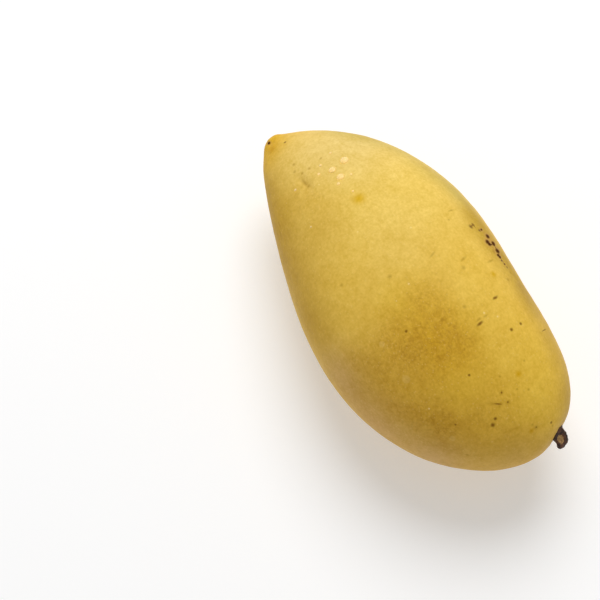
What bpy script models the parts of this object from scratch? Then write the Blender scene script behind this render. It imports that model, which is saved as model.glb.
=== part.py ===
# Mango: one ripe yellow fruit of the long, pointed kind, lying on its cheek, with its dried stem stub.
#
# Axes at rest: +X towards the stem end, +Y towards the strongly curved back, +Z up. The origin is under
# the middle of the fruit, on the surface that it lies on. Everything is in metres.

from math import comb, cos, exp, radians, sin, sqrt, tan

import bmesh
import bpy
from mathutils import Euler, Matrix, Vector, noise

MM = 0.001

# The body, measured along its long axis from the stem end to the tip.
AXIS_LENGTH = 148 * MM          # from the stem point to the tip point, along the long axis
STEM_OFFSET = 12.5 * MM         # the stem stands this far to the back of the long axis
TIP_OFFSET = -6.5 * MM          # and the tip this far to the belly side
STEM_LEAN = radians(22)         # the stem end faces this much to the back
TIP_LEAN = radians(22)          # the tip faces this much to the belly

# How full each side is: the half width that an ellipse through the side would have. The first value is at
# the stem end, the last at the tip, and those between pull a smooth curve towards them.
BACK_FULLNESS = (35 * MM, 25.5 * MM, 26.5 * MM, 43.5 * MM, 44 * MM, 21 * MM)
BELLY_FULLNESS = (41 * MM, 55.5 * MM, 50 * MM, 36 * MM, 30 * MM, 20 * MM)
CHEEK_FULLNESS = (32.5 * MM, 33.5 * MM, 36 * MM, 33.5 * MM, 33 * MM, 19 * MM)

SECTION_POWER = 2.1             # 2 is an ellipse, more is fuller at the corners
BELLY_KEEL = 0.05               # the belly is this share thinner than the middle, the back thicker

# The flesh isn't quite even: broad, shallow swells and hollows.
SWELL_HEIGHT = 0.5 * MM
SWELL_LENGTH = 42 * MM

# The small beak at the tip.
BEAK_HEIGHT = 0.8 * MM
BEAK_RADIUS = 4 * MM

# The shallow hollow round the stem, and the socket that the stem grows from.
HOLLOW_DEPTH = 1.0 * MM
HOLLOW_RADIUS = 5.0 * MM
SOCKET_RADIUS = 2.5 * MM
SOCKET_DEPTH = 3.0 * MM

# The stem stub.
STUB_CLEARANCE = 0.3 * MM
STUB_ROOT_RADIUS = SOCKET_RADIUS - STUB_CLEARANCE
STUB_COLLAR_RADIUS = 2.9 * MM
STUB_END_RADIUS = 2.6 * MM
STUB_HEIGHT = 4.4 * MM          # from the skin to the furthest point of the broken end
STUB_DROOP = 1.2 * MM           # how far the end bends away from the straight line
STUB_DROOP_WAY = (0, -0.8, -0.6)
STUB_BREAK_TILT = radians(42)   # the broken face looks this much up from the stem's own line
STUB_LUMP = 0.35 * MM           # height of the knobs of the dried bark
STUB_LUMP_LENGTH = 2.2 * MM
STUB_LUMP_START = 0.8 * MM      # the bark is smooth up to here, and fully knobbed this much higher
STUB_LUMP_FADE = 1 * MM

# How the fruit lies: turned so that its weight is over its lowest point, on a small flat spot.
REST_ROLL = radians(1.9)        # the back side is lifted
REST_PITCH = radians(-0.4)      # the stem end is lifted
FLAT_DEPTH = 0.4 * MM
TABLE_CUTTER_SIZE = (120 * MM, 80 * MM, 20 * MM)

AROUND = 80                     # faces round the fruit
ALONG = 56                      # faces from the stem to the tip
END_RING = 0.000001             # a ring of the ball this small is one of its two end points


def clear_scene():
    for old in list(bpy.data.objects):
        bpy.data.objects.remove(old, do_unlink=True)


def new_collection(name):
    collection = bpy.data.collections.new(name)
    bpy.context.scene.collection.children.link(collection)
    return collection


def new_object(name, mesh, collection, parent=None):
    made = bpy.data.objects.new(name, mesh)
    collection.objects.link(made)
    made.parent = parent
    return made


def plain_material(name, colour, roughness):
    material = bpy.data.materials.new(name)
    material.use_nodes = True
    shader = material.node_tree.nodes["Principled BSDF"]
    shader.inputs["Base Color"].default_value = (*colour, 1)
    shader.inputs["Roughness"].default_value = roughness
    shader.inputs["Metallic"].default_value = 0
    return material


# The curve that a row of values pulls towards itself, at a share of the way from the first to the last.
def pulled_curve(values, share):
    last = len(values) - 1
    return sum(
        comb(last, k) * share ** k * (1 - share) ** (last - k) * value
        for k, value in enumerate(values)
    )


# The place on the fruit of a point on a ball of radius 1, whose +Z is the stem and +X the back.
def fruit_point(ball):
    ring = sqrt(max(1 - ball.z ** 2, 0))
    share = (1 - ball.z) / 2
    axis = STEM_OFFSET * (1 - share) + TIP_OFFSET * share
    if ring < END_RING:
        return Vector((AXIS_LENGTH / 2 * ball.z, axis, 0))
    across, up = ball.x / ring, ball.y / ring
    corner = (abs(across) ** SECTION_POWER + abs(up) ** SECTION_POWER) ** (-1 / SECTION_POWER)
    across, up = across * corner, up * corner
    back = pulled_curve(BACK_FULLNESS, share)
    belly = pulled_curve(BELLY_FULLNESS, share)
    cheek = pulled_curve(CHEEK_FULLNESS, share)
    sideways = ring * ((back - belly) / 2 + (back + belly) / 2 * across)
    height = ring * cheek * up * (1 + BELLY_KEEL * across)
    lean = tan(STEM_LEAN) * (1 - share) ** 3 + tan(TIP_LEAN) * share ** 3
    return Vector((AXIS_LENGTH / 2 * ball.z - lean * sideways, axis + sideways, height))


# The stem point and the tip point, each with the way that the skin faces there.
def stem_line():
    foot = Vector((AXIS_LENGTH / 2, STEM_OFFSET, 0))
    line = Vector((cos(STEM_LEAN), sin(STEM_LEAN), 0))
    return foot, line


def tip_line():
    foot = Vector((-AXIS_LENGTH / 2, TIP_OFFSET, 0))
    line = Vector((-cos(TIP_LEAN), -sin(TIP_LEAN), 0))
    return foot, line


# A rounded dent or bump round a point: how much of its depth is left at a place.
def fades(place, foot, radius):
    return exp(-((place - foot).length / radius) ** 2)


def make_fruit(collection, parent, material):
    shape = bmesh.new()
    bmesh.ops.create_uvsphere(shape, u_segments=AROUND, v_segments=ALONG, radius=1)
    stem, stem_way = stem_line()
    tip, tip_way = tip_line()
    for vert in shape.verts:
        vert.co = fruit_point(vert.co)
    bmesh.ops.recalc_face_normals(shape, faces=shape.faces)
    shape.normal_update()
    for vert in shape.verts:
        place = vert.co.copy()
        near_stem = fades(place, stem, HOLLOW_RADIUS)
        near_tip = fades(place, tip, BEAK_RADIUS)
        swell = SWELL_HEIGHT * noise.noise(place / SWELL_LENGTH) * (1 - near_stem)
        vert.co += vert.normal * swell
        vert.co += tip_way * BEAK_HEIGHT * near_tip - stem_way * HOLLOW_DEPTH * near_stem
    mesh = bpy.data.meshes.new("fruit")
    shape.to_mesh(mesh)
    shape.free()
    mesh.shade_smooth()
    mesh.materials.append(material)
    return new_object("fruit", mesh, collection, parent)


# A frame with its Z along the stem, its origin on the skin at the bottom of the hollow.
def stem_frame():
    foot, line = stem_line()
    turn = line.to_track_quat("Z", "X").to_matrix().to_4x4()
    return Matrix.Translation(foot - line * HOLLOW_DEPTH) @ turn


def make_socket_cutter(collection, parent):
    shape = bmesh.new()
    bmesh.ops.create_cone(
        shape, cap_ends=True, segments=24,
        radius1=SOCKET_RADIUS, radius2=SOCKET_RADIUS, depth=2 * SOCKET_DEPTH,
    )
    bmesh.ops.transform(shape, matrix=stem_frame(), verts=shape.verts)
    mesh = bpy.data.meshes.new("socket_cutter")
    shape.to_mesh(mesh)
    shape.free()
    return new_object("socket_cutter", mesh, collection, parent)


# The surface that the fruit lies on, in the world's own axes: its top is at zero height.
def make_table_cutter(collection):
    shape = bmesh.new()
    bmesh.ops.create_cube(shape, size=1)
    length, width, depth = TABLE_CUTTER_SIZE
    slab = Matrix.Translation((0, 0, -depth / 2)) @ Matrix.Diagonal((length, width, depth, 1))
    bmesh.ops.transform(shape, matrix=slab, verts=shape.verts)
    mesh = bpy.data.meshes.new("table_cutter")
    shape.to_mesh(mesh)
    shape.free()
    return new_object("table_cutter", mesh, collection)


def cut(target, cutter):
    cutter.hide_render = True
    cutter.display_type = "WIRE"
    difference = target.modifiers.new(cutter.name, "BOOLEAN")
    difference.operation = "DIFFERENCE"
    difference.solver = "EXACT"
    difference.object = cutter


# The stub's middle line: the height above the skin, the share of the droop, and the radius there. The last
# station is past the end, and is broken off.
def stub_stations():
    return (
        (STUB_CLEARANCE - SOCKET_DEPTH, 0, STUB_ROOT_RADIUS),
        (0.4 * MM, 0, STUB_ROOT_RADIUS),
        (1.3 * MM, 0, 0.95 * STUB_COLLAR_RADIUS),
        (2.3 * MM, 0.15, STUB_COLLAR_RADIUS),
        (3.6 * MM, 0.5, 0.5 * (STUB_COLLAR_RADIUS + STUB_END_RADIUS)),
        (STUB_HEIGHT + 2 * MM, 1.5, STUB_END_RADIUS),
    )


def make_stub(collection, parent, material):
    path = bpy.data.curves.new("stem_stub", "CURVE")
    path.dimensions = "3D"
    path.bevel_depth = 1 * MM
    path.bevel_resolution = 4
    path.use_fill_caps = True
    spline = path.splines.new("POLY")
    stations = stub_stations()
    spline.points.add(len(stations) - 1)
    frame = stem_frame()
    for point, (height, share, radius) in zip(spline.points, stations):
        place = frame @ Vector((0, 0, height)) + share * STUB_DROOP * Vector(STUB_DROOP_WAY)
        point.co = (*place, 1)
        point.radius = radius / (1 * MM)
    guide = new_object("stem_guide", path, collection)
    mesh = bpy.data.meshes.new_from_object(guide.evaluated_get(bpy.context.evaluated_depsgraph_get()))
    bpy.data.objects.remove(guide, do_unlink=True)

    shape = bmesh.new()
    shape.from_mesh(mesh)
    bmesh.ops.remove_doubles(shape, verts=shape.verts, dist=0.01 * MM)
    bmesh.ops.subdivide_edges(shape, edges=shape.edges, cuts=1, use_grid_fill=True)
    roughen_bark(shape, frame)
    break_end(shape, frame)
    bmesh.ops.recalc_face_normals(shape, faces=shape.faces)
    shape.to_mesh(mesh)
    shape.free()
    mesh.name = "stem_stub"
    mesh.shade_smooth()
    mesh.set_sharp_from_angle(angle=radians(50))
    mesh.materials.clear()
    mesh.materials.append(material)
    return new_object("stem_stub", mesh, collection, parent)


# Knobs of the dried bark, only where the stub stands clear of the socket.
def roughen_bark(shape, frame):
    to_frame = frame.inverted()
    for vert in shape.verts:
        height = (to_frame @ vert.co).z
        outward = vert.co - frame @ Vector((0, 0, height))
        clear = min(max((height - STUB_LUMP_START) / STUB_LUMP_FADE, 0), 1)
        if clear > 0:
            vert.co += outward.normalized() * STUB_LUMP * clear * noise.noise(vert.co / STUB_LUMP_LENGTH)


# Breaks the end off along a slanting plane, and closes it.
def break_end(shape, frame):
    line = frame.to_3x3() @ Vector((0, 0, 1))
    face = line * cos(STUB_BREAK_TILT) + Vector((0, 0, 1)) * sin(STUB_BREAK_TILT)
    middle = frame @ Vector((0, 0, STUB_HEIGHT - STUB_END_RADIUS * tan(STUB_BREAK_TILT)))
    cut_off = bmesh.ops.bisect_plane(
        shape, geom=shape.verts[:] + shape.edges[:] + shape.faces[:],
        plane_co=middle, plane_no=face, clear_outer=True,
    )
    rim = [part for part in cut_off["geom_cut"] if isinstance(part, bmesh.types.BMEdge)]
    bmesh.ops.contextual_create(shape, geom=rim)


# Where the turned pieces go, so that the flat spot is at zero height and the box round them is centred.
def rest_place(pieces, turn):
    places = [turn @ vert.co for piece in pieces for vert in piece.data.vertices]
    low = Vector(min(place[k] for place in places) for k in range(3))
    high = Vector(max(place[k] for place in places) for k in range(3))
    return Vector((-(low.x + high.x) / 2, -(low.y + high.y) / 2, -low.z - FLAT_DEPTH))


def main():
    clear_scene()
    mango = new_collection("mango")
    cutters = new_collection("mango_cutters")
    skin = plain_material("mango_skin", (0.72, 0.45, 0.08), 0.45)
    bark = plain_material("dry_stem", (0.07, 0.04, 0.025), 0.85)

    rest = new_object("mango_rest", None, mango)
    fruit = make_fruit(mango, rest, skin)
    stub = make_stub(mango, rest, bark)
    socket = make_socket_cutter(cutters, rest)
    table = make_table_cutter(cutters)

    turn = Euler((REST_ROLL, REST_PITCH, 0)).to_matrix()
    rest.rotation_euler = (REST_ROLL, REST_PITCH, 0)
    rest.location = rest_place((fruit, stub), turn)

    cut(fruit, socket)
    cut(fruit, table)
    print("mango:", round(AXIS_LENGTH / MM), "mm from stem to tip")


main()
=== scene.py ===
# A ripe yellow mango of the long, pointed kind, lying on its cheek, with its dried stem stub and a few
# drops of water on the skin. Lengths are in metres: +X to the stem end, +Y to the curved back, +Z up.

from math import cos, exp, radians, sin

import bpy
from mathutils import Euler, Matrix, Vector
from mathutils.bvhtree import BVHTree


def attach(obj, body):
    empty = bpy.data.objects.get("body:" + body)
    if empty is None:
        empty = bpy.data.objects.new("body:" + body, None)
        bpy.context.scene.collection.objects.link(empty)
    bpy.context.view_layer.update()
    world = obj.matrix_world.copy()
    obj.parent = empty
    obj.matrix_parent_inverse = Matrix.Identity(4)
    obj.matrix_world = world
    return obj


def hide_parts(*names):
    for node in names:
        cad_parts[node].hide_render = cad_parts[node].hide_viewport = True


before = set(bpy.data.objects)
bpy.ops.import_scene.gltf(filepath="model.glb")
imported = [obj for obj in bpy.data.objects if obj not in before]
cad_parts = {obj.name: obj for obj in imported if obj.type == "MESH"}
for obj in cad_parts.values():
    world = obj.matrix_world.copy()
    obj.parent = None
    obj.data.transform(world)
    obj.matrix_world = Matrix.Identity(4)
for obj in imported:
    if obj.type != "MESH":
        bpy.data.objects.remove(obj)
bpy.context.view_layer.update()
mm = 0.001
print("frame loaded:", ", ".join(sorted(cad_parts)))


# Camera. It stands where the photograph was taken from, looking down on the fruit.

cameraSettings = {
    "azimuth": radians(55),
    "elevation": radians(68),
    "distance": 0.71,
    "aim": (-0.0196, -0.0301, 0.0321),      # the point in the middle of the picture
    "lens": 121.4,                          # millimetres, on a sensor of 36
    "sensor": 36,
}
photoWidth = 600                            # pixels, and the same in height
fruitMiddle = (417, 300)                    # the pixel in the middle of the fruit
inwardStep = 0.002                          # a pixel off the fruit moves in by this share at a time


def cameraAxes():
    azimuth, elevation = cameraSettings["azimuth"], cameraSettings["elevation"]
    back = Vector((sin(azimuth) * cos(elevation), -cos(azimuth) * cos(elevation), sin(elevation)))
    right = Vector((cos(azimuth), sin(azimuth), 0))
    return right, back.cross(right), back


def makeCamera():
    right, up, back = cameraAxes()
    lens = bpy.data.cameras.new("camera")
    lens.sensor_width = cameraSettings["sensor"]
    lens.lens = cameraSettings["lens"]
    lens.clip_start = 0.01
    lens.clip_end = 20
    camera = bpy.data.objects.new("camera", lens)
    bpy.context.scene.collection.objects.link(camera)
    eye = Vector(cameraSettings["aim"]) + back * cameraSettings["distance"]
    turn = Matrix((right, up, back)).transposed().to_4x4()
    camera.matrix_world = Matrix.Translation(eye) @ turn
    bpy.context.scene.camera = camera


def treeOf(mesh):                           # for finding places on the surface of a mesh
    places = [vert.co for vert in mesh.vertices]
    return BVHTree.FromPolygons(places, [face.vertices for face in mesh.polygons])


# The place on a surface that shows at a pixel of the photograph, and the way that it faces there. A pixel
# just outside the outline is first moved in to it.
def placeAt(tree, pixel):
    right, up, back = cameraAxes()
    eye = Vector(cameraSettings["aim"]) + back * cameraSettings["distance"]
    focal = cameraSettings["lens"] / cameraSettings["sensor"] * photoWidth
    middle = photoWidth / 2
    place = None
    while place is None:
        way = right * (pixel[0] - middle) + up * (middle - pixel[1]) - back * focal
        place, normal, _, _ = tree.ray_cast(eye, way.normalized())
        pixel = [side + inwardStep * (centre - side) for side, centre in zip(pixel, fruitMiddle)]
    return place, normal


makeCamera()
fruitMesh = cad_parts["fruit"].data
print("camera placed")


# Modelling helpers.

def makeActive(piece):
    bpy.ops.object.select_all(action="DESELECT")
    piece.select_set(True)
    bpy.context.view_layer.objects.active = piece


def pickFaces(piece, wanted):               # in edit mode: only the faces whose centre and normal are wanted
    bpy.ops.mesh.select_mode(type="FACE")
    bpy.ops.mesh.select_all(action="DESELECT")
    bpy.ops.object.mode_set(mode="OBJECT")
    for face in piece.data.polygons:
        face.select = wanted(face.center, face.normal)
    bpy.ops.object.mode_set(mode="EDIT")


def weigh(piece, name, share):              # a vertex group whose weights come from each vertex's place
    group = piece.vertex_groups.new(name=name)
    for vert in piece.data.vertices:
        group.add([vert.index], share(vert.co), "REPLACE")


def applyAll(piece):
    for modifier in list(piece.modifiers):
        bpy.ops.object.modifier_apply(modifier=modifier.name)


def subdivide(piece, levels):
    smooth = piece.modifiers.new("Subdivision", "SUBSURF")
    smooth.levels = levels
    smooth.render_levels = levels
    applyAll(piece)


def displace(piece, group, size, height, middle=0.5):     # in and out by soft noise of this size
    noise = bpy.data.textures.new(piece.name + "Noise", "CLOUDS")
    noise.noise_scale = size
    noise.noise_depth = 2
    push = piece.modifiers.new("Displace", "DISPLACE")
    push.texture = noise
    push.texture_coords = "LOCAL"
    push.strength = height
    push.mid_level = middle
    push.vertex_group = group
    applyAll(piece)


def dent(piece, depth, group):              # in along the normals by this depth, a bump if it is negative
    push = piece.modifiers.new("Displace", "DISPLACE")
    push.strength = -depth
    push.mid_level = 0
    push.vertex_group = group
    applyAll(piece)


def rounded(distance, radius):              # 1 in the middle, fading smoothly to nothing
    return exp(-(distance / radius) ** 2)


def ramp(value, low, high):                 # 0 below low, 1 above high, smooth between
    share = min(max((value - low) / (high - low), 0), 1)
    return share * share * (3 - 2 * share)


def offSegment(place, first, last):         # how far a place is from the line between two points
    line = last - first
    share = min(max((place - first).dot(line) / line.length_squared, 0), 1)
    return (place - first - line * share).length


# Materials. Shade wraps an output socket, so that shader maths is written as Python.

class Shade:
    tree = None                             # the node tree that is being built

    def __init__(self, socket):
        self.socket = socket

    @staticmethod
    def node(kind, settings=None, sockets=None, output=0):
        made = Shade.tree.nodes.new(kind)
        for name, value in (settings or {}).items():
            setattr(made, name, value)
        for name, value in (sockets or {}).items():
            if isinstance(value, Shade):
                Shade.tree.links.new(value.socket, made.inputs[name])
            else:
                made.inputs[name].default_value = value
        return Shade(made.outputs[output])

    @staticmethod
    def maths(operation, *values):
        return Shade.node("ShaderNodeMath", {"operation": operation}, dict(enumerate(values)))

    def __add__(self, other):
        return Shade.maths("ADD", self, other)

    def __sub__(self, other):
        return Shade.maths("SUBTRACT", self, other)

    def __rsub__(self, other):
        return Shade.maths("SUBTRACT", other, self)

    def __mul__(self, other):
        return Shade.maths("MULTIPLY", self, other)

    __radd__ = __add__
    __rmul__ = __mul__


def colour(red, green, blue):               # a colour picker's 0 to 255 as linear light
    def linear(step):
        share = step / 255
        return share / 12.92 if share <= 0.04045 else ((share + 0.055) / 1.055) ** 2.4
    return linear(red), linear(green), linear(blue), 1


def objectPlace():
    return Shade.node("ShaderNodeTexCoord", output="Object")


def cloud(place, size, detail=2.0, swirl=0.0):     # soft noise with features of this size
    return Shade.node(
        "ShaderNodeTexNoise", {"noise_dimensions": "3D"},
        {"Vector": place, "Scale": 1 / size, "Detail": detail, "Distortion": swirl},
    )


def softStep(value, low, high):             # 0 at low and 1 at high, smooth between; low may be the higher
    return Shade.node(
        "ShaderNodeMapRange", {"interpolation_type": "SMOOTHSTEP"},
        {"Value": value, "From Min": low, "From Max": high},
    )


def mixed(share, first, second, blend="MIX"):
    return Shade.node(
        "ShaderNodeMix", {"data_type": "RGBA", "blend_type": blend, "clamp_factor": True},
        {0: share, 6: first, 7: second}, output=2,
    )


def vectorMaths(operation, *values):
    return Shade.node("ShaderNodeVectorMath", {"operation": operation}, dict(enumerate(values)))


def scaled(paint, amount):                  # a colour made lighter or darker by a number
    return Shade.node("ShaderNodeVectorMath", {"operation": "SCALE"}, {0: paint, "Scale": amount})


def wobbled(place, size, reach):            # the place pushed about by noise, for uneven edges
    noise = Shade.node(
        "ShaderNodeTexNoise", {"noise_dimensions": "3D"},
        {"Vector": place, "Scale": 1 / size, "Detail": 2.0}, output="Color",
    )
    push = scaled(vectorMaths("SUBTRACT", noise, (0.5, 0.5, 0.5)), 2 * reach)
    return vectorMaths("ADD", place, push)


def distanceTo(place, point):
    if not isinstance(point, Shade):
        point = tuple(point)
    return Shade.node("ShaderNodeVectorMath", {"operation": "DISTANCE"}, {0: place, 1: point}, output="Value")


def along(place, way):                      # how far the place is in this direction
    return Shade.node(
        "ShaderNodeVectorMath", {"operation": "DOT_PRODUCT"}, {0: place, 1: tuple(way)}, output="Value"
    )


def distanceToLine(place, first, last):
    line = last - first
    reached = along(vectorMaths("SUBTRACT", place, tuple(first)), line)
    share = Shade.node("ShaderNodeMapRange", {}, {"Value": reached, "From Max": line.length_squared})
    return distanceTo(place, vectorMaths("MULTIPLY_ADD", tuple(line), share, tuple(first)))


def ellipse(place, centre, turn, halfSizes):       # 0 in the middle and 1 at the edge
    inside = Shade.node(
        "ShaderNodeMapping", {"vector_type": "TEXTURE"},
        {"Vector": place, "Location": centre, "Rotation": turn, "Scale": halfSizes},
    )
    return Shade.node("ShaderNodeVectorMath", {"operation": "LENGTH"}, {0: inside}, output="Value")


def speckle(place, size, dot):              # round dots of this radius, one in about every size
    return softStep(
        Shade.node(
            "ShaderNodeTexVoronoi", {"feature": "F1"}, {"Vector": place, "Scale": 1 / size}, output="Distance"
        ),
        dot / size, 0.5 * dot / size,
    )


def newMaterial(name):
    material = bpy.data.materials.new(name)
    material.use_nodes = True
    Shade.tree = material.node_tree
    return material


def finishMaterial(material, base, roughness, height=None, bumpDepth=0, fixed=None):
    shader = material.node_tree.nodes["Principled BSDF"]
    wanted = {"Base Color": base, "Roughness": roughness}
    if height is not None:
        wanted["Normal"] = Shade.node(
            "ShaderNodeBump", {}, {"Strength": 1.0, "Distance": bumpDepth, "Height": height}
        )
    for name, value in {**wanted, **(fixed or {})}.items():
        if isinstance(value, Shade):
            material.node_tree.links.new(value.socket, shader.inputs[name])
        else:
            shader.inputs[name].default_value = value


# The skin of the fruit: the CAD fruit's own form, made fine and uneven.

skinShape = {
    "mergeDistance": 0.01 * mm,
    "quadAngle": radians(40),               # two triangles bent less than this become a quad
    "stemCapRadius": 4.0 * mm,              # the CAD socket and the skin this near it are made anew
    "stemCapDepth": 9 * mm,                 # to this far from where the stem leaves the skin
    "capRings": (0.74, 0.6),                # each new ring's size, as a share of the one before
    "levels": 2,
    "swell": {"size": 17 * mm, "height": 0.4 * mm, "middle": 0.55},
    "peel": {"size": 3.2 * mm, "height": 0.1 * mm, "middle": 0.55},
    "pucker": {"size": 1.7 * mm, "height": 0.5 * mm, "middle": 0.7},
    "puckerReach": 5.5 * mm,                # from where the stem leaves the skin
    # the pixels of both ends, radius and depth, which is negative where the skin stands out
    "dents": {
        "tipScar": ((269.6, 143.0), (269.0, 144.0), 0.9 * mm, 0.25 * mm),
        "tipFlank": ((266.5, 143.0), (264.5, 152.0), 4.0 * mm, 0.5 * mm),
        "tipTop": ((288.0, 134.0), (306.0, 132.0), 4.0 * mm, 0.45 * mm),
        "tipCorner": ((270.5, 139.0), (275.0, 136.5), 2.4 * mm, -0.75 * mm),
        "dimple": ((299.5, 178.5), (308.5, 187.5), 2.1 * mm, 0.55 * mm),
        "dimpleLip": ((305.0, 175.5), (315.0, 184.0), 2.6 * mm, -0.2 * mm),
    },
    "flatHeight": 0.02 * mm,                # faces lower than this are the resting spot
    "flatInset": 2 * mm,
    "flatMargin": (0.1 * mm, 3 * mm),       # between these heights the unevenness grows from none to full
}

stemSettings = {
    "lean": radians(22),                    # the stem faces this much to the back
    "roll": radians(1.9),                   # the fruit rests with its back side lifted by this
    "pitch": radians(-0.4),                 # and its stem end by this
    "rootDepth": 2.7 * mm,                  # the CAD stub starts this far under the skin
    "rootSlice": 0.1 * mm,                  # its vertices this near its inner end give its middle
}


# The stem's own line, from the CAD stub: the place where it leaves the skin, and its direction.
def stemLine():
    lean = Vector((cos(stemSettings["lean"]), sin(stemSettings["lean"]), 0))
    way = Euler((stemSettings["roll"], stemSettings["pitch"], 0)).to_matrix() @ lean
    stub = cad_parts["stem_stub"].data
    deepest = min(vert.co.dot(way) for vert in stub.vertices)
    root = [vert.co for vert in stub.vertices if vert.co.dot(way) < deepest + stemSettings["rootSlice"]]
    return sum(root, Vector()) / len(root) + way * stemSettings["rootDepth"], way


def makeSkin():
    skin = bpy.data.objects.new("mangoSkin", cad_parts["fruit"].data.copy())
    bpy.context.scene.collection.objects.link(skin)
    makeActive(skin)
    foot, way = stemLine()

    def byTheStem(centre, normal):
        off = centre - foot
        aside = (off - way * off.dot(way)).length
        return off.length < skinShape["stemCapDepth"] and aside < skinShape["stemCapRadius"]

    bpy.ops.object.mode_set(mode="EDIT")
    bpy.ops.mesh.select_all(action="SELECT")
    bpy.ops.mesh.remove_doubles(threshold=skinShape["mergeDistance"])
    quadAngle = skinShape["quadAngle"]
    bpy.ops.mesh.tris_convert_to_quads(face_threshold=quadAngle, shape_threshold=quadAngle)
    pickFaces(skin, byTheStem)
    bpy.ops.mesh.delete(type="FACE")
    bpy.ops.mesh.select_mode(type="EDGE")
    bpy.ops.mesh.select_all(action="DESELECT")
    bpy.ops.mesh.select_non_manifold()
    for share in skinShape["capRings"]:
        bpy.ops.mesh.extrude_region_move()
        bpy.ops.transform.resize(value=(share, share, share), center_override=foot)
    bpy.ops.mesh.edge_face_add()
    bpy.ops.mesh.poke()
    pickFaces(skin, lambda centre, normal: centre.z < skinShape["flatHeight"] and normal.z < -0.99)
    bpy.ops.mesh.dissolve_faces()
    bpy.ops.mesh.inset(thickness=skinShape["flatInset"])
    bpy.ops.mesh.poke()
    bpy.ops.mesh.select_all(action="SELECT")
    bpy.ops.mesh.normals_make_consistent(inside=False)
    bpy.ops.object.mode_set(mode="OBJECT")
    print("skin cage:", len(skin.data.polygons), "faces")

    subdivide(skin, skinShape["levels"])
    low, high = skinShape["flatMargin"]
    weigh(skin, "offTheTable", lambda place: ramp(place.z, low, high))
    displace(skin, "offTheTable", **skinShape["swell"])
    displace(skin, "offTheTable", **skinShape["peel"])
    weigh(skin, "byTheStem", lambda place: rounded((place - foot).length, skinShape["puckerReach"]))
    displace(skin, "byTheStem", **skinShape["pucker"])

    fruitTree = treeOf(fruitMesh)
    for name, (start, end, radius, depth) in skinShape["dents"].items():
        first, last = placeAt(fruitTree, start)[0], placeAt(fruitTree, end)[0]
        weigh(skin, name, lambda place: rounded(offSegment(place, first, last), radius))
        dent(skin, depth, name)
    for vert in skin.data.vertices:
        vert.co.z = max(vert.co.z, 0)
    bpy.ops.object.shade_smooth()
    skin.vertex_groups.clear()
    return skin


skin = makeSkin()
skinTree = treeOf(skin.data)


def onSkin(pixel):
    return placeAt(skinTree, pixel)


print("skin modelled:", len(skin.data.polygons), "faces")


# The skin's colours and marks. Each mark is named, with its pixel in the photograph and its width in
# millimetres; a streak has the pixels of its two ends.

skinPaint = {
    "ground": colour(219, 174, 58),
    "grain": (0.68, 0.95, 2.6),             # how strongly the fine noise changes the red, green and blue
    "bruise": (0.8, 0.7, 0.25, 1),          # what a bruise leaves of the red, green and blue
    "pore": colour(150, 100, 8),            # the brown mottling in a bruise
    "patch": colour(180, 130, 12),          # its broader, browner patches
    "vein": colour(226, 180, 84),           # and the paler lines in it
    "scab": colour(82, 42, 0),
    "halo": colour(204, 150, 84),           # the tan skin round a scab
    "spot": colour(112, 66, 0),
    "freckle": colour(168, 122, 22),
    "soft": (0.86, 0.75, 0.15, 1),          # what an orange soft spot leaves
    "speck": colour(250, 226, 150),
    "underWay": (0, -0.215, 0.927),         # the side that the photograph doesn't show has its own marks,
    "under": (30 * mm, 18 * mm),            # from the first to the second distance along this direction
    "roughness": 0.5,
    "specular": 0.07,
    "paintedSheen": (0.009, 0.009, 0.009),         # painted sheen: a pale veil added to the colour in place of the waxy skin's reflection, which the scabs and spots haven't
    "bumpDepth": 0.35 * mm,
}

skinNoise = {                               # the size of each noise's features
    "broad": 26 * mm,
    "medium": 8 * mm,
    "mottle": 2.4 * mm,
    "grain": 0.9 * mm,
    "vein": 3.0 * mm,
    "pore": 2.2 * mm,
    "patch": 5 * mm,
    # what makes edges uneven: the size of its features, and how far it pushes an edge
    "toneEdge": (20 * mm, 4 * mm),
    "bruiseEdge": (12 * mm, 4 * mm),
    "bruiseFineEdge": (4 * mm, 1 * mm),
    "markEdge": (0.8 * mm, 0.16 * mm),
}

skinDots = {                                # one dot in about every first distance, and its radius
    "lenticel": (1.5 * mm, 0.34 * mm),
    "fleck": (4.2 * mm, 0.42 * mm),
    "underSpot": (11 * mm, 0.75 * mm),
    "underFreckle": (5 * mm, 0.6 * mm),
}

skinStrength = {                            # how strongly each noise, dot and mark shows
    "broad": 0.25, "medium": 0.3, "mottle": 0.34, "grain": 0.42,
    "vein": 0.2, "pore": 0.3, "patch": 0.26,
    "lenticel": 0.12, "fleck": 0.11, "underBruise": 0.45, "underSpot": 0.7, "underFreckle": 0.45,
    "freckle": 0.5, "spot": 0.84, "halo": 0.45, "paleSpeck": 0.6, "paleDisc": 0.12,
}
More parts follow.
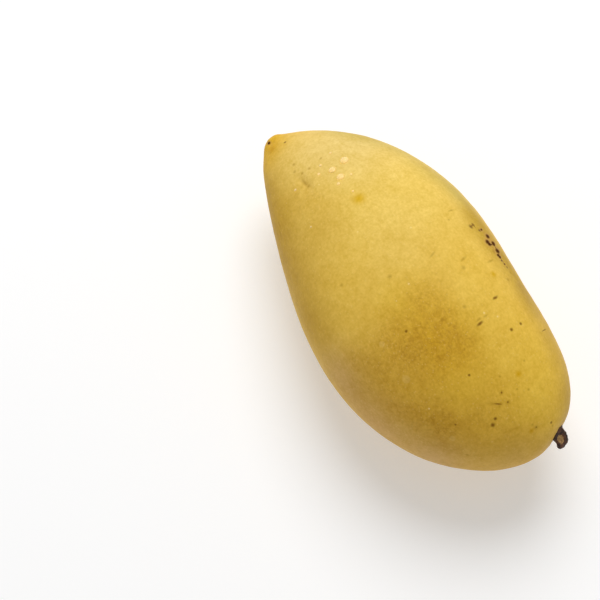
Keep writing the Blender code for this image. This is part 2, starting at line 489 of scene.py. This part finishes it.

# The skin's broad tones: a pixel, or the two ends of a line, then reach in millimetres, strength, colour.
# Some are painted light: a paler sheen on the shoulder, the floor's reflection along the belly, and shade
# along the top, back and side edges.
tones = {
    "upper": ((385, 185), 80, 0.9, colour(235, 200, 95)),
    "right": ((480, 290), 36, 0.7, colour(232, 191, 72)),
    "leftSide": ((335, 300), 30, 0.5, colour(226, 185, 68)),
    "golden1": (((410, 306), (450, 332)), 18, 0.55, colour(225, 183, 42)),
    "golden2": ((464, 378), 20, 0.5, colour(218, 174, 24)),
    # painted sheen: the top shoulder made paler and greyer where it catches the bright surroundings
    "shoulderSheen": ((345, 140), 36, 0.8, colour(226, 197, 118)),
    "flank": ((276, 222), 22, 0.7, colour(200, 156, 22)),
    "flankSide": ((314, 242), 21, 0.45, colour(204, 163, 56)),
    "stemEnd": ((538, 382), 36, 0.9, colour(230, 188, 62)),
    # belly1 to belly4: painted reflection of the white floor, a greyer tan veil along the lower rim
    "belly1": ((342, 380), 22, 0.6, colour(201, 158, 96)),
    "belly2": ((380, 428), 22, 0.8, colour(205, 161, 93)),
    "belly3": ((436, 460), 23, 0.85, colour(203, 161, 94)),
    "belly4": ((506, 466), 22, 0.85, colour(207, 164, 74)),
    "leftEdge": (((268, 200), (313, 322)), 19, 0.64, colour(188, 144, 28)),
    "tip": ((266, 152), 16, 0.95, colour(216, 167, 0)),
    "byStem": ((555, 440), 16, 0.6, colour(192, 149, 90)),
    # painted shade: the top, back and side edges made darker where less light reaches the far rim
    "topEdgeShade": (((340, 126), (462, 198)), 13, 0.85, colour(198, 170, 70)),
    "backEdgeShade": (((479, 222), (524, 290)), 13, 0.9, colour(187, 147, 8)),
    "sideEdgeShade": (((525, 292), (568, 404)), 11, 0.6, colour(192, 154, 58)),
}

bruises = {                                 # the same without a colour; the two by the crease are painted shade, not bruises
    "heart": ((430, 340), 22, 0.86),
    "upper": ((430, 296), 15, 0.3),
    "left": ((392, 350), 14, 0.5),
    "leftFoot": ((382, 379), 10, 0.2),
    "right": ((462, 346), 15, 0.35),
    "lowerLeft": (((358, 358), (408, 408)), 11, 0.42),
    "golden": ((438, 404), 17, 0.22),
    "belly1": ((434, 423), 14, 0.65),
    "belly2": ((474, 432), 16, 0.5),
    "belly3": (((358, 392), (424, 436)), 13, 0.1),
    "underStem1": ((498, 402), 14, 0.35),
    "underStem2": ((520, 432), 11, 0.35),
    # painted shade below the dimple's crease, not a bruise, here and on the next line
    "crease": ((307, 193), 12, 0.3),
    "creaseSideShade": ((322, 204), 14, 0.15),
}

scabs = {                                   # nearly black beads, with tan skin round them
    "scab1": ((481.5, 229.6), 0.95), "scab2": ((487.7, 236.3), 1.75), "scab3": ((487.5, 241.8), 1.75),
    "scab4": ((489.4, 244.0), 1.5), "scab5": ((493.3, 243.4), 1.8), "scab6": ((494.0, 244.8), 1.05),
    "scab7": ((497.5, 250.9), 1.9), "scab8": ((498.1, 255.3), 1.15), "scab9": ((499.9, 257.0), 1.15),
    "scab10": ((501.8, 260.6), 0.65), "scab11": ((504.6, 264.1), 0.7), "tipEnd": ((269.0, 143.0), 1.15),
}

scabStreaks = {
    "scabLine1": ((489.5, 245.0), (492.4, 244.2), 0.45), "scabLine2": ((494.3, 245.2), (497.2, 250.4), 0.4),
    "scabLine3": ((498.0, 252.0), (499.8, 256.8), 0.35), "scabLine4": ((500.2, 257.6), (504.6, 264.2), 0.2),
}

spots = {                                   # brown
    "left1": ((406.1, 331.3), 1.2), "right1": ((511.5, 329.6), 1.3), "right2": ((520.7, 323.6), 1.1),
    "low1": ((469.1, 375.2), 1.0), "low2": ((495.3, 418.8), 1.35), "low3": ((492.7, 425.1), 1.75),
    "low4": ((501.6, 392.6), 0.7), "low5": ((507.8, 402.1), 0.6), "low6": ((536.3, 427.2), 0.6),
    "low7": ((455.5, 424.6), 0.8), "stem1": ((551.2, 422.5), 1.0), "tip1": ((285.0, 142.3), 0.95),
    "line1": ((470.9, 226.6), 1.45), "line2": ((473.0, 224.8), 1.25), "line3": ((479.5, 230.5), 1.0),
    "line4": ((507.1, 267.3), 0.7),
}

spotStreaks = {
    "dash1": ((493.6, 299.0), (496.8, 296.6), 1.15), "dash2": ((477.9, 325.4), (482.0, 321.8), 1.2),
    "dash9": ((542.0, 331.4), (545.8, 329.2), 0.45), "dash10": ((494.5, 403.9), (501.5, 404.2), 0.5),
    "line5": ((470.4, 227.2), (473.2, 224.6), 0.6), "line6": ((473.4, 224.6), (475.6, 228.2), 0.45),
    "line7": ((478.4, 230.8), (481.2, 229.8), 0.6),
}

freckles = {                                # pale brown, with soft edges
    "tip2": ((293.8, 164.5), 1.2), "tip3": ((294.7, 171.7), 1.3), "tip4": ((309.2, 168.5), 1.2),
    "tip5": ((320.9, 158.3), 1.0), "tip6": ((302.4, 173.2), 1.0), "dimpleEnd": ((308.6, 186.3), 1.3),
    "upper1": ((448.9, 219.7), 0.8), "upper2": ((463.5, 267.6), 1.7), "edge1": ((508.0, 279.6), 1.3),
    "edge2": ((464.5, 306.6), 1.5), "edge3": ((494.0, 251.6), 1.4), "middle1": ((442.2, 319.8), 1.6),
    "middle2": ((416.4, 328.4), 1.2), "left3": ((341.6, 285.0), 1.3), "left4": ((389.8, 276.4), 1.6),
    "low8": ((500.0, 376.4), 0.9), "low9": ((524.2, 360.7), 0.9), "low10": ((501.6, 392.6), 2.0),
    "low11": ((508.2, 402.3), 1.8), "low12": ((536.2, 427.3), 2.0), "low13": ((467.2, 454.8), 0.9),
    "low14": ((517.0, 389.0), 0.9), "low15": ((528.6, 389.5), 1.0), "low16": ((532.5, 424.5), 1.0),
    "low17": ((552.6, 425.7), 0.8), "line8": ((510.6, 272.7), 0.9),
}

freckleStreaks = {
    "edgeMark1": ((278.3, 221.6), (280.4, 227.0), 0.7), "edgeMark2": ((279.0, 229.0), (281.4, 236.0), 0.6),
    "dash3": ((430.6, 256.8), (434.4, 252.2), 1.0), "dash4": ((461.4, 260.6), (465.2, 257.0), 1.1),
    "dash5": ((448.8, 211.2), (453.2, 209.7), 0.8), "dash6": ((488.6, 262.0), (492.6, 259.8), 1.1),
    "dash7": ((484.2, 317.0), (487.0, 314.8), 0.9), "dash8": ((477.4, 320.6), (480.3, 318.2), 1.0),
    "dash11": ((490.0, 403.6), (504.0, 404.3), 1.4), "line9": ((483.4, 231.8), (486.0, 236.2), 0.7),
    # a faint brown streak in the dimple's groove, drawn darker with painted shade of the groove
    "crease": ((302.0, 180.0), (308.0, 185.6), 1.4),
}

softSpots = {
    "orange1": ((359.0, 198.6), 5.4), "orange2": ((272.0, 149.0), 3.6), "orange3": ((493.6, 274.2), 2.4),
    "orange4": ((518.6, 373.9), 2.8), "orange5": ((531.5, 431.0), 2.2),
}

paleSpecks = {
    "pale1": ((410.8, 227.5), 0.8), "pale2": ((408.7, 283.8), 0.8), "pale3": ((484.2, 312.8), 0.9),
    "pale4": ((396.4, 301.0), 0.6), "pale5": ((357.7, 231.7), 0.6), "pale6": ((319.0, 184.6), 0.6),
    "pale7": ((497.6, 316.4), 0.8), "pale8": ((429.0, 408.7), 0.7),
}

paleDiscs = {                               # fainter and larger
    "disc1": ((382.0, 344.2), 2.0), "disc2": ((406.2, 379.4), 2.8), "disc3": ((452.5, 438.5), 2.0),
}


def nearest(distances):
    closest = distances[0]
    for distance in distances[1:]:
        closest = Shade.maths("MINIMUM", closest, distance)
    return closest


def dots(place, marks):                     # how near the closest dot is: 1 is its edge
    found = []
    for pixel, width in marks.values():
        centre, normal = onSkin(pixel)
        facing = max(normal.dot(cameraAxes()[2]), 0.2)      # slanting skin shows a dot narrower than it is
        found.append(distanceTo(place, centre) * (2 * facing ** 0.5 / (width * mm)))
    return found


def beads(place, marks):                    # dots drawn to look round in the photograph on slanting skin too
    turn = Matrix(cameraAxes()).transposed().to_euler()
    found = []
    for pixel, width in marks.values():
        half = width * mm / 2
        found.append(ellipse(place, onSkin(pixel)[0], turn, (half, half, 2 * half)))
    return found


def nearness(place, where, reach):          # 1 at the pixel or on the line between two, 0 this far off it
    if isinstance(where[0], tuple):
        away = distanceToLine(place, onSkin(where[0])[0], onSkin(where[1])[0])
    else:
        away = distanceTo(place, onSkin(where)[0])
    return softStep(away, reach * mm, 0)


def streaks(place, marks):
    found = []
    for first, last, width in marks.values():
        start, normal = onSkin(first)
        end = onSkin(last)[0]
        ahead = (end - start).normalized()
        across = normal.cross(ahead).normalized()
        turn = Matrix((ahead, across, ahead.cross(across))).transposed().to_euler()
        half = width * mm / 2
        halfSizes = ((end - start).length / 2 + half, half, half)
        found.append(ellipse(place, (start + end) / 2, turn, halfSizes))
    return found


def paintTones(drift, broad):
    paler = softStep(broad, 0.3, 0.7) * skinStrength["broad"]
    paint = mixed(paler, skinPaint["ground"], tones["upper"][3])
    for where, reach, strength, tone in tones.values():
        paint = mixed(nearness(drift, where, reach) * strength, paint, tone)
    return paint


def paintBruises(paint, place, loose, medium):         # also gives how bruised each place is, counting the painted shade by the crease
    bruised = 0
    for where, reach, strength in bruises.values():
        dark = nearness(loose, where, reach)
        paint = mixed(dark * (strength * (0.5 + medium)), paint, skinPaint["bruise"], "MULTIPLY")
        bruised = dark * strength + bruised
    veined = Shade.maths("ABSOLUTE", cloud(place, skinNoise["vein"], 1, 1.6) - 0.5)
    veins = softStep(veined, 0.05, 0.0)
    paint = mixed(veins * bruised * skinStrength["vein"], paint, skinPaint["vein"])
    pores = softStep(cloud(place, skinNoise["pore"], 1, 2.2), 0.4, 0.75)
    paint = mixed(pores * bruised * skinStrength["pore"], paint, skinPaint["pore"])
    patches = softStep(cloud(place, skinNoise["patch"], 2, 1.2), 0.46, 0.66)
    return mixed(patches * bruised * skinStrength["patch"], paint, skinPaint["patch"]), bruised


def paintHiddenSide(paint, drift, loose, broad):
    start, end = skinPaint["under"]
    under = softStep(along(objectPlace(), skinPaint["underWay"]), start, end)
    dull = under * softStep(broad, 0.45, 0.7) * skinStrength["underBruise"]
    paint = mixed(dull, paint, skinPaint["bruise"], "MULTIPLY")
    hiddenSpots = under * speckle(drift, *skinDots["underSpot"]) * skinStrength["underSpot"]
    paint = mixed(hiddenSpots, paint, skinPaint["spot"])
    hiddenFreckles = under * speckle(loose, *skinDots["underFreckle"]) * skinStrength["underFreckle"]
    return mixed(hiddenFreckles, paint, skinPaint["freckle"])


def paintMarks(paint, rough):                          # also gives where the brown and the black marks are
    blots = softStep(nearest(dots(rough, softSpots)), 1.25, 0)
    paint = mixed(blots, paint, skinPaint["soft"], "MULTIPLY")
    tan = softStep(nearest(dots(rough, freckles) + streaks(rough, freckleStreaks)), 1.4, 0)
    paint = mixed(tan * skinStrength["freckle"], paint, skinPaint["freckle"])
    brown = softStep(nearest(dots(rough, spots) + streaks(rough, spotStreaks)), 1.3, 0.2)
    paint = mixed(brown * skinStrength["spot"], paint, skinPaint["spot"])
    scabbed = nearest(beads(rough, scabs) + streaks(rough, scabStreaks))
    paint = mixed(softStep(scabbed, 2.4, 1.0) * skinStrength["halo"], paint, skinPaint["halo"])
    black = softStep(scabbed, 1.45, 0.5)
    paint = mixed(black, paint, skinPaint["scab"])
    white = softStep(nearest(dots(rough, paleSpecks)), 1.2, 0.3)
    disc = softStep(nearest(dots(rough, paleDiscs)), 1.2, 0.7)
    pale = white * skinStrength["paleSpeck"] + disc * skinStrength["paleDisc"]
    return mixed(pale, paint, skinPaint["speck"]), brown, black


def makeSkinMaterial():
    material = newMaterial("ripeSkin")
    place = objectPlace()
    broad = cloud(place, skinNoise["broad"])
    medium = cloud(place, skinNoise["medium"])
    mottle = cloud(place, skinNoise["mottle"], 3)
    grain = cloud(place, skinNoise["grain"])
    drift = wobbled(place, *skinNoise["toneEdge"])
    loose = wobbled(wobbled(place, *skinNoise["bruiseEdge"]), *skinNoise["bruiseFineEdge"])

    paint, bruised = paintBruises(paintTones(drift, broad), place, loose, medium)
    uneven = (medium - 0.5) * skinStrength["medium"] + (mottle - 0.5) * skinStrength["mottle"]
    uneven = uneven + (grain - 0.5) * skinStrength["grain"]
    uneven = uneven * (0.85 + bruised * 0.5)           # a bruise is the more uneven
    tone = vectorMaths("MULTIPLY_ADD", skinPaint["grain"], uneven, (1, 1, 1))
    paint = vectorMaths("MULTIPLY", paint, tone)
    lenticels = speckle(place, *skinDots["lenticel"])
    flecks = speckle(place, *skinDots["fleck"])
    specks = lenticels * skinStrength["lenticel"] + flecks * skinStrength["fleck"]
    paint = mixed(specks, paint, skinPaint["speck"])
    # painted sheen: a pale veil standing in for the skin's reflection
    paint = vectorMaths("ADD", paint, skinPaint["paintedSheen"])
    paint = paintHiddenSide(paint, drift, loose, broad)
    paint, brown, black = paintMarks(paint, wobbled(place, *skinNoise["markEdge"]))

    roughness = skinPaint["roughness"] + (mottle - 0.5) * 0.12 + black * 0.3
    height = medium * 0.35 + mottle * 0.3 + grain * 0.16 + lenticels * 0.05 + black * 0.5 - brown * 0.1
    finishMaterial(
        material, paint, roughness, height, skinPaint["bumpDepth"],
        fixed={"Specular IOR Level": skinPaint["specular"]},
    )
    return material


skin.data.materials.clear()
skin.data.materials.append(makeSkinMaterial())
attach(skin, "root")
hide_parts("fruit")
print("skin painted")


# The dried stem stub: bark round a slanting, broken end of paler wood.

stubShape = {
    "sides": 24,
    "levels": 2,
    "rootDepth": 1.2 * mm,                  # under the skin
    "rootRadius": 2.2 * mm,
    # height above the skin, radius, and how far the middle is off to the low side, all in millimetres
    "rings": (
        (-0.5, 2.75, 0.1), (0.05, 2.9, 0.2), (0.6, 2.75, 0.4), (1.2, 2.6, 0.5), (1.9, 2.55, 0.6),
        (2.6, 2.65, 0.9), (3.3, 2.8, 1.25), (4.1, 2.4, 1.15), (4.9, 2.0, 1.0),
    ),
    "breakPoint": (0 * mm, 1.1 * mm, 2.6 * mm),              # in the middle of the broken end
    "breakTilt": radians(44),
    "breakTurn": radians(5),                # how far it faces the low side
    "woodSize": (0.52, 0.74, 0.7),          # of the wood inside the rim, as a share
    "woodStep": (0.05 * mm, 0.65 * mm, -0.1 * mm),
    "spur": (0.6 * mm, -1.1 * mm, -0.35 * mm),               # the root ridge, drawn out along the skin
    "spurHeights": (-0.6 * mm, 0.4 * mm),   # it leaves the stub between these
    "spurTaper": 0.6,                       # the size of its end, as a share
    "rim": 0.6 * mm,
    "recess": 0.35 * mm,
    "recessWall": 0.2 * mm,                 # how wide the recess's slanting wall is, and the ring inside it
    "knobs": {"size": 1.3 * mm, "height": 0.5 * mm, "middle": 0.55},
    "fibres": {"size": 0.45 * mm, "height": 0.22 * mm},
    "clearOfSkin": (0.1 * mm, 1.2 * mm),    # between these heights both grow from none to full
    # the pixel, radius and height of each swelling of the rim
    "swellings": {
        "lobe": ((559.2, 446.0), 1.15 * mm, 0.8 * mm),
        "lip": ((563.8, 446.4), 1.2 * mm, 0.3 * mm),
        "corner": ((567.4, 441.0), 1.3 * mm, 0.25 * mm),
    },
    "coarse": 1.6 * mm,                     # the sizes of the bark's and the wood's pattern
    "fine": 0.4 * mm,
    "bumpDepth": 0.3 * mm,
    "roughness": 0.7,
    "bark": colour(92, 54, 28),
    "barkDark": colour(42, 25, 15),
    "wood": colour(186, 148, 92),
    "woodDark": colour(134, 98, 54),
}


# Local Z runs along the stem, local X is its upper side, and local Y its low side in the photograph.
def stemFrame():
    foot, way = stemLine()
    low = way.cross(Vector((0, 0, 1))).normalized()
    return Matrix.Translation(foot) @ Matrix((low.cross(way), low, way)).transposed().to_4x4()


def growStub():                             # from its root, ring by ring, and leaves it in edit mode
    rootDepth, rootRadius = stubShape["rootDepth"], stubShape["rootRadius"]
    firstHeight = stubShape["rings"][0][0] * mm
    bpy.ops.object.select_all(action="DESELECT")
    bpy.ops.mesh.primitive_cylinder_add(
        vertices=stubShape["sides"], radius=rootRadius, depth=rootDepth + firstHeight,
        location=(0, 0, (firstHeight - rootDepth) / 2),
    )
    stub = bpy.context.object
    stub.name = "stemStub"
    bpy.ops.object.transform_apply(location=True, rotation=True, scale=True)
    bpy.ops.object.mode_set(mode="EDIT")
    pickFaces(stub, lambda centre, normal: normal.z > 0.9)
    lastHeight, lastRadius, lastShift = firstHeight, rootRadius, 0
    for height, radius, shift in stubShape["rings"]:
        height, radius, shift = height * mm, radius * mm, shift * mm
        step = (0, shift - lastShift, height - lastHeight)
        bpy.ops.mesh.extrude_region_move(TRANSFORM_OT_translate={"value": step})
        growth = radius / lastRadius
        bpy.ops.transform.resize(value=(growth, growth, 1), center_override=(0, shift, height))
        lastHeight, lastRadius, lastShift = height, radius, shift
    return stub


def drawSpur(stub):                         # some faces at the foot are drawn out to a smaller end
    lowest, highest = stubShape["spurHeights"]
    pickFaces(stub, lambda centre, normal: normal.y < -0.8 and lowest < centre.z < highest)
    chosen = [face.center for face in stub.data.polygons if face.select]
    middle = sum(chosen, Vector()) / len(chosen) + Vector(stubShape["spur"])
    bpy.ops.mesh.extrude_region_move(TRANSFORM_OT_translate={"value": stubShape["spur"]})
    taper = stubShape["spurTaper"]
    bpy.ops.transform.resize(value=(taper, taper, taper), center_override=middle)


def breakOff(stub):                         # the slanting end, and the recess of wood inside its rim
    tilt, turn = stubShape["breakTilt"], stubShape["breakTurn"]
    way = (sin(tilt) * cos(turn), sin(tilt) * sin(turn), cos(tilt))
    bpy.ops.mesh.select_all(action="SELECT")
    bpy.ops.mesh.bisect(plane_co=stubShape["breakPoint"], plane_no=way, use_fill=True, clear_outer=True)
    bpy.ops.mesh.select_mode(type="FACE")
    pickFaces(stub, lambda centre, normal: normal.dot(Vector(way)) > 0.999)
    bpy.ops.mesh.inset(thickness=stubShape["rim"])
    bpy.ops.transform.resize(value=stubShape["woodSize"], center_override=stubShape["breakPoint"])
    bpy.ops.transform.translate(value=stubShape["woodStep"])
    bpy.ops.mesh.inset(thickness=stubShape["recessWall"], depth=-stubShape["recess"])
    bpy.ops.object.vertex_group_assign_new()
    bpy.ops.mesh.inset(thickness=stubShape["recessWall"])
    bpy.ops.object.vertex_group_assign()
    bpy.ops.mesh.poke()
    bpy.ops.object.vertex_group_assign()


def markWood(stub):                         # keeps where the broken end is, for the material
    share = [0.0] * len(stub.data.vertices)
    for vert in stub.data.vertices:
        for group in vert.groups:
            share[vert.index] = group.weight
    wood = stub.data.attributes.new("wood", "FLOAT", "POINT")
    wood.data.foreach_set("value", share)


def makeStub():
    stub = growStub()
    drawSpur(stub)
    breakOff(stub)
    bpy.ops.object.mode_set(mode="OBJECT")
    subdivide(stub, stubShape["levels"])
    markWood(stub)
    low, high = stubShape["clearOfSkin"]
    weigh(stub, "clearOfSkin", lambda place: ramp(place.z, low, high))
    displace(stub, "clearOfSkin", **stubShape["knobs"])
    displace(stub, "clearOfSkin", **stubShape["fibres"])
    stub.matrix_world = stemFrame()
    bpy.ops.object.transform_apply(location=True, rotation=True, scale=True)
    stubTree = treeOf(stub.data)
    for name, (pixel, radius, height) in stubShape["swellings"].items():
        middle = placeAt(stubTree, pixel)[0]
        weigh(stub, name, lambda place: rounded((place - middle).length, radius))
        dent(stub, -height, name)
    bpy.ops.object.shade_smooth()
    stub.vertex_groups.clear()
    return stub


def makeStubMaterial():
    material = newMaterial("dryStem")
    place = objectPlace()
    coarse = cloud(place, stubShape["coarse"], 4)
    fine = cloud(place, stubShape["fine"], 4)
    wood = Shade.node("ShaderNodeAttribute", {"attribute_name": "wood"}, output="Fac")
    bark = mixed(softStep(coarse, 0.38, 0.62), stubShape["barkDark"], stubShape["bark"])
    end = mixed(softStep(fine, 0.35, 0.65), stubShape["woodDark"], stubShape["wood"])
    paint = mixed(softStep(wood + (coarse - 0.5) * 0.6, 0.25, 0.95), bark, end)
    paint = scaled(paint, 0.75 + fine * 0.5)
    roughness = stubShape["roughness"] + (fine - 0.5) * 0.3
    finishMaterial(material, paint, roughness, coarse * 0.5 + fine * 0.5, stubShape["bumpDepth"])
    return material


stub = makeStub()
stub.data.materials.append(makeStubMaterial())
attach(stub, "root")
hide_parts("stem_stub")
print("stem stub modelled:", len(stub.data.polygons), "faces")


# Drops of water on the skin: shallow domes, each with its foot sunk a little into it.

dropShape = {
    "segments": 16,
    "rings": 10,
    "levels": 1,
    "height": 0.45,                         # as a share of the radius
    "foot": 0.3,                            # how deep the lower half is, as a share of the upper
    "sunk": 0.1,                            # as a share of the radius
    "uneven": {"size": 1.1, "height": 0.03},                 # on a drop whose radius is 1
    "spin": 2.4,                            # each drop is turned this much further, so no two look alike
    # colour is a pale cream painted for the light the water gathers; rim is painted shade at the drop's edge
    "colour": colour(255, 229, 160),
    "rim": colour(196, 152, 66),
    "alpha": 0.55,
    "roughness": 0.22,
    "ior": 1.33,
}

drops = {                                   # pixel, radius in millimetres
    "big1": ((344.3, 160.3), 1.75), "big2": ((332.2, 169.8), 1.45), "big3": ((340.5, 176.8), 1.55),
    "small1": ((320.4, 165.4), 0.65), "small2": ((318.8, 174.1), 0.65), "small3": ((338.5, 183.6), 0.75),
    "small4": ((352.8, 191.1), 0.55), "small5": ((295.4, 190.0), 0.65), "small6": ((330.4, 152.9), 0.6),
    "small7": ((351.2, 174.1), 0.55), "small8": ((311.0, 226.8), 0.45),
}


def makeDrop():
    bpy.ops.object.select_all(action="DESELECT")
    bpy.ops.mesh.primitive_uv_sphere_add(
        segments=dropShape["segments"], ring_count=dropShape["rings"], radius=1,
    )
    drop = bpy.context.object
    bpy.ops.object.mode_set(mode="EDIT")
    bpy.ops.mesh.select_all(action="SELECT")
    bpy.ops.transform.resize(value=(1, 1, dropShape["height"]), center_override=(0, 0, 0))
    pickFaces(drop, lambda centre, normal: centre.z < 0)
    bpy.ops.transform.resize(value=(1, 1, dropShape["foot"]), center_override=(0, 0, 0))
    bpy.ops.object.mode_set(mode="OBJECT")
    weigh(drop, "all", lambda place: 1)
    displace(drop, "all", **dropShape["uneven"])
    subdivide(drop, dropShape["levels"])
    crown = drop.data.attributes.new("crown", "FLOAT", "POINT")         # 0 at the rim and 1 at the top
    crown.data.foreach_set("value", [max(vert.co.z, 0) / dropShape["height"] for vert in drop.data.vertices])
    bpy.ops.object.shade_smooth()
    drop.vertex_groups.clear()
    return drop


def makeDropMaterial():
    material = newMaterial("water")
    crown = Shade.node("ShaderNodeAttribute", {"attribute_name": "crown"}, output="Fac")
    # painted light and shade: a darker rim of edge shade, and a pale top for the light the drop gathers
    paint = mixed(softStep(crown, 0.1, 0.45), dropShape["rim"], dropShape["colour"])
    finishMaterial(material, paint, dropShape["roughness"], fixed={"IOR": dropShape["ior"]})
    alpha = dropShape["alpha"] * (0.6 + softStep(crown, 0.2, 1.0) * 0.6)
    material.node_tree.links.new(alpha.socket, material.node_tree.nodes["Principled BSDF"].inputs["Alpha"])
    return material


def placeDrops():
    model = makeDrop()
    water = makeDropMaterial()
    model.data.materials.append(water)
    for number, (name, (pixel, radius)) in enumerate(drops.items()):
        place, normal = onSkin(pixel)
        turn = normal.to_track_quat("Z", "Y").to_matrix().to_4x4()
        spin = Matrix.Rotation(number * dropShape["spin"], 4, "Z")
        size = Matrix.Scale(radius * mm, 4)
        sunk = Matrix.Translation((0, 0, -dropShape["sunk"]))
        drop = bpy.data.objects.new("waterDrop_" + name, model.data.copy())
        bpy.context.scene.collection.objects.link(drop)
        drop.data.transform(Matrix.Translation(place) @ turn @ spin @ size @ sunk)
        drop.visible_shadow = False         # clear water lets the light through to the skin
        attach(drop, "root")
    bpy.data.objects.remove(model)


placeDrops()
print("drops placed:", len(drops))


# Floor and light.

studio = {
    "floorRadius": 5.0,
    "floor": (0.72, 0.72, 0.72, 1),
    "floorRoughness": 0.8,
    "glow": 0.33,                           # keeps the floor as pale as a lit sweep
    "farGlow": 0.72,                        # out where the lamp doesn't reach
    "glowReach": (0.4, 2.6),                # metres from the fruit, from the one to the other
    "lampWay": (-0.42, 0.30, 0.86),
    "lampDistance": 1.5,
    "lampSize": 1.1,
    "lampPower": 16.5,
    "sky": 0.34,
    "horizon": 0.9,                         # the sky is this pale low down
    "horizonReach": (0.08, 0.2),            # from this height to that one, as the sine of its angle
}


def makeStudio():
    bpy.ops.object.select_all(action="DESELECT")
    bpy.ops.mesh.primitive_circle_add(vertices=96, radius=studio["floorRadius"], fill_type="NGON")
    floor = bpy.context.object
    floor.name = "floor"
    material = newMaterial("paleFloor")
    near, far = studio["glowReach"]
    away = softStep(distanceTo(objectPlace(), (0, 0, 0)), near, far)
    glow = studio["glow"] + away * (studio["farGlow"] - studio["glow"])
    finishMaterial(
        material, studio["floor"], studio["floorRoughness"],
        fixed={"Emission Color": scaled((1, 1, 1), glow), "Emission Strength": 1},
    )
    floor.data.materials.append(material)

    lamp = bpy.data.lights.new("lamp", "AREA")
    lamp.shape = "DISK"
    lamp.size = studio["lampSize"]
    lamp.energy = studio["lampPower"]
    holder = bpy.data.objects.new("lamp", lamp)
    bpy.context.scene.collection.objects.link(holder)
    way = Vector(studio["lampWay"]).normalized()
    holder.location = way * studio["lampDistance"]
    holder.rotation_euler = way.to_track_quat("Z", "Y").to_euler()

    world = bpy.data.worlds.new("studio")
    bpy.context.scene.world = world
    world.use_nodes = True
    Shade.tree = world.node_tree
    low, high = studio["horizonReach"]
    direction = Shade.node("ShaderNodeTexCoord", output="Generated")
    height = Shade.node("ShaderNodeSeparateXYZ", {}, {"Vector": direction}, output="Z")
    pale = studio["sky"] + softStep(height, high, low) * (studio["horizon"] - studio["sky"])
    sky = world.node_tree.nodes["Background"]
    sky.inputs["Color"].default_value = (1, 1, 1, 1)
    world.node_tree.links.new(pale.socket, sky.inputs["Strength"])
    bpy.context.scene.view_settings.view_transform = "Standard"


makeStudio()
print("floor and light placed")
